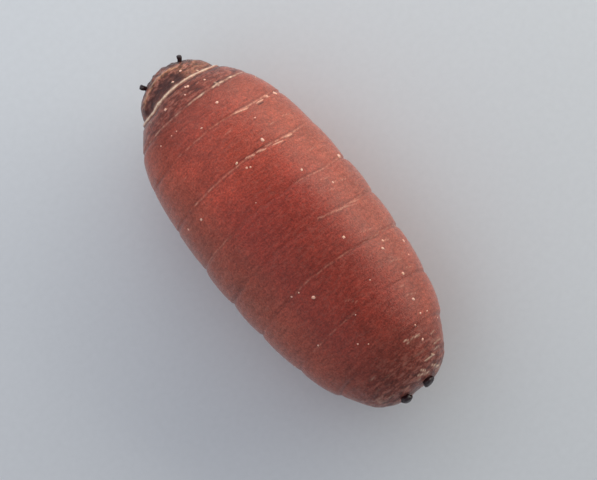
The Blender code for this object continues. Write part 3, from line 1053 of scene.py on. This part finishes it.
class PUPARIUM_OT_skin(bpy.types.Operator):
    """Turns the ringed skin, crumples its ends and marks its pale and dark creases"""

    bl_idname = "puparium.skin"
    bl_label = "Skin"

    def execute(self, context):
        scene = context.scene
        form = in_millimetres(scene.puparium_sizes)
        rings = ring_places(form)
        bm = turned(body_outline(form), form.sides)
        marks = {"pale": [], "dark": [], "tan": [], "rough": [], "tone": []}
        for vert in bm.verts:
            x, z, y = vert.co
            point = (x, y, z)
            marks["pale"].append(pale_mark(form, point, rings))
            marks["dark"].append(dark_mark(form, point, rings))
            marks["tan"].append(tan_mark(form, point))
            marks["rough"].append(rough_mark(form, point, rings))
            marks["tone"].append(tone_mark(point))
            vert.co = shaped(form, point, rings)
        keep_inside(bm, CAD_BOX)
        # Swapping Y and Z turned the faces inside out; they are turned back by their new normals
        bm.normal_update()
        bmesh.ops.recalc_face_normals(bm, faces=bm.faces)
        skin = to_object(bm, "skin", skin_material(scene.puparium_colours))
        for name, values in marks.items():
            store(skin.data, name, values)
        belongs(skin)
        return {"FINISHED"}


def stand(bm, form, kind, side):
    """Stands a turned shape on the body where its kind belongs, on one side of the middle."""
    direction = Vector((kind.lean[0] * side, kind.lean[1], kind.lean[2])).normalized()
    at = Vector((kind.place[0] * side + kind.shift, kind.place[1], axis_height(form) + kind.place[2]))
    turn = direction.to_track_quat("Z", "Y").to_matrix().to_4x4()
    bmesh.ops.transform(bm, matrix=Matrix.Translation(at) @ turn, verts=bm.verts)


def spiracle(form, name, kind, radius, tall, side, material):
    """A spiracle turned from its kind's outline, with lobes round its crown and a lumpy surface."""
    points = [(0.0, tall * kind.outline[0][1])]
    points += [(radius * wide, tall * high) for wide, high in kind.outline]
    bm = turned(points + [(0.0, tall)], kind.sides)
    bmesh.ops.subdivide_edges(bm, edges=bm.edges, cuts=1, use_grid_fill=True, smooth=SPIRACLE_SMOOTHING)
    for vert in bm.verts:
        crown = held(vert.co.z / tall, 0.0, 1.0)
        turn = math.atan2(vert.co.y, vert.co.x)
        spread = 1.0 + LOBE_SPREAD * crown * math.cos(kind.lobes * turn + side)
        spread *= 1.0 + bumps(vert.co, SPIRACLE_LUMPS, side * LUMP_SHIFT)
        vert.co.x *= spread
        vert.co.y *= spread
    bmesh.ops.recalc_face_normals(bm, faces=bm.faces)
    stand(bm, form, kind, side)
    belongs(to_object(bm, name, material))


class PUPARIUM_OT_spiracles(bpy.types.Operator):
    """Stands the front breathing horns and the rear breathing knobs on the skin"""

    bl_idname = "puparium.spiracles"
    bl_label = "Spiracles"

    def execute(self, context):
        scene = context.scene
        form = in_millimetres(scene.puparium_sizes)
        sizes = in_millimetres(scene.spiracle_sizes)
        black = spiracle_material(scene.puparium_colours)
        for side, word in ((-1, "left"), (1, "right")):
            spiracle(form, f"front_spiracle_{word}", HORN, sizes.horn_radius, sizes.horn_length, side, black)
            spiracle(form, f"rear_spiracle_{word}", KNOB, sizes.knob_radius, sizes.knob_length, side, black)
        return {"FINISHED"}


def lay_grain(bm, spot, inward, size, chance):
    """Lays one broken grain of a size in millimetres on the skin."""
    made = bmesh.ops.create_icosphere(bm, subdivisions=2, radius=size * GRAIN_RADIUS + GRAIN_LEAST)["verts"]
    bmesh.ops.scale(bm, vec=[chance.uniform(*ends) for ends in GRAIN_STRETCH], verts=made)
    for vert in made:
        vert.co *= 1.0 + chance.uniform(-GRAIN_CHIPS, GRAIN_CHIPS)
    spin = Matrix.Rotation(chance.uniform(0, 2 * math.pi), 4, "Z")
    turn = inward.to_track_quat("Z", "Y").to_matrix().to_4x4()
    at = Matrix.Translation(spot + inward * size * GRAIN_SINK)
    bmesh.ops.transform(bm, matrix=at @ turn @ spin, verts=made)


class PUPARIUM_OT_grains(bpy.types.Operator):
    """Lays pale dust grains on the skin: those that show on the back, and a few all round"""

    bl_idname = "puparium.grains"
    bl_label = "Dust grains"

    count: bpy.props.IntProperty(
        name="Count", description="Tries to lay a grain on the hidden sides", default=70
    )

    def execute(self, context):
        chance = random.Random(GRAIN_SEED)
        surface = BVHTree.FromObject(bpy.data.objects["skin"], context.evaluated_depsgraph_get())
        low, high = CAD_BOX
        middle = (low + high) / 2
        bm = bmesh.new()
        for x, y, size in GRAINS:
            spot, normal, _, _ = surface.ray_cast(Vector((x * MM, y * MM, high.z * 2)), Vector((0, 0, -1)))
            lay_grain(bm, spot / MM, -normal, size * MICROMETRE, chance)
        for _ in range(self.count):
            turn = math.pi * chance.uniform(*SCATTER_ARC)
            y = chance.uniform(low.y, high.y) * SCATTER_LENGTH
            out = Vector((math.cos(turn), 0.0, math.sin(turn)))
            size = chance.uniform(*SCATTER_SIZES) * MICROMETRE
            if out.z > SCATTER_TOP:
                continue
            start = Vector((middle.x, y, middle.z)) + out * high.z * 2
            spot, normal, _, _ = surface.ray_cast(start, -out)
            if spot is not None and spot.z > SCATTER_FOOT:
                lay_grain(bm, spot / MM, -normal, size, chance)
        keep_inside(bm, CAD_BOX)
        bmesh.ops.recalc_face_normals(bm, faces=bm.faces)
        belongs(to_object(bm, "dust_grains", grain_material(context.scene.puparium_colours)))
        return {"FINISHED"}


def softbox(name, azimuth, elevation, distance, wide, tall, brightness, tint):
    """A rectangular light that faces the body, given as in LIGHTS."""
    light = bpy.data.lights.new(name, "AREA")
    light.shape = "RECTANGLE"
    light.size = wide * MM
    light.size_y = tall * MM
    light.energy = brightness * WATTS * light.size * light.size_y
    light.color = tint
    lamp = bpy.data.objects.new(name, light)
    turn, rise = math.radians(azimuth), math.radians(elevation)
    away = Vector((math.cos(turn) * math.cos(rise), math.sin(turn) * math.cos(rise), math.sin(rise)))
    lamp.location = away * distance * MM
    lamp.rotation_euler = away.to_track_quat("Z", "Y").to_euler()
    lamp.visible_camera = False
    bpy.context.scene.collection.objects.link(lamp)


class PUPARIUM_OT_stage(bpy.types.Operator):
    """Sets the pale floor, the soft light and the camera"""

    bl_idname = "puparium.stage"
    bl_label = "Stage"

    def execute(self, context):
        scene = context.scene
        stage = scene.puparium_stage
        bm = bmesh.new()
        bmesh.ops.create_grid(bm, x_segments=1, y_segments=1, size=FLOOR_SIZE)
        bmesh.ops.translate(bm, vec=(0.0, 0.0, -FLOOR_DROP), verts=bm.verts)
        to_object(bm, "floor", floor_material(stage.floor))

        world = bpy.data.worlds.new("soft_daylight")
        world.use_nodes = True
        sky = world.node_tree.nodes["Background"]
        sky.inputs["Color"].default_value = rgba(stage.daylight)
        sky.inputs["Strength"].default_value = DAYLIGHT_STRENGTH
        scene.world = world
        for light in LIGHTS:
            softbox(*light)

        turn = Matrix.Rotation(stage.tilt, 4, "X") @ Matrix.Rotation(-stage.turn, 4, "Z")
        right, up, back = (turn.col[number].to_3d() for number in range(3))
        form = in_millimetres(scene.puparium_sizes)
        aim = Vector((0, 0, axis_height(form))) + right * BODY_SHIFT[0] + up * BODY_SHIFT[1]
        camera = bpy.data.cameras.new("camera")
        camera.lens = LENS
        camera.sensor_width = SENSOR
        camera.clip_start = NEAREST * MM
        camera.clip_end = FARTHEST * MM
        eye = bpy.data.objects.new("camera", camera)
        eye.matrix_world = Matrix.Translation(aim * MM + back * stage.view_width * LENS / SENSOR) @ turn
        scene.collection.objects.link(eye)
        scene.camera = eye
        scene.view_settings.view_transform = "Standard"
        return {"FINISHED"}


class PUPARIUM_PT_panel(bpy.types.Panel):
    """Builds the puparium piece by piece"""

    bl_label = "Puparium"
    bl_idname = "PUPARIUM_PT_panel"
    bl_space_type = "VIEW_3D"
    bl_region_type = "UI"
    bl_category = "Puparium"

    def draw(self, context):
        for name in GROUPS:
            group = getattr(context.scene, name)
            box = self.layout.box()
            for prop in group.bl_rna.properties:
                if prop.identifier not in ("rna_type", "name"):
                    box.prop(group, prop.identifier)
        for operator in OPERATORS:
            self.layout.operator(operator.bl_idname)


OPERATORS = (PUPARIUM_OT_skin, PUPARIUM_OT_spiracles, PUPARIUM_OT_grains, PUPARIUM_OT_stage)
GROUPS = {
    "puparium_sizes": PupariumSizes,
    "spiracle_sizes": SpiracleSizes,
    "puparium_colours": PupariumColours,
    "puparium_stage": StageSettings,
}


def register():
    for cls in (*GROUPS.values(), *OPERATORS, PUPARIUM_PT_panel):
        bpy.utils.register_class(cls)
    for name, group in GROUPS.items():
        setattr(bpy.types.Scene, name, bpy.props.PointerProperty(type=group))


def unregister():
    for name in GROUPS:
        delattr(bpy.types.Scene, name)
    for cls in (PUPARIUM_PT_panel, *reversed(OPERATORS), *reversed(GROUPS.values())):
        bpy.utils.unregister_class(cls)


def main():
    register()
    bpy.ops.puparium.skin()
    bpy.ops.puparium.spiracles()
    bpy.ops.puparium.grains()
    bpy.ops.puparium.stage()


if __name__ == "__main__":
    main()
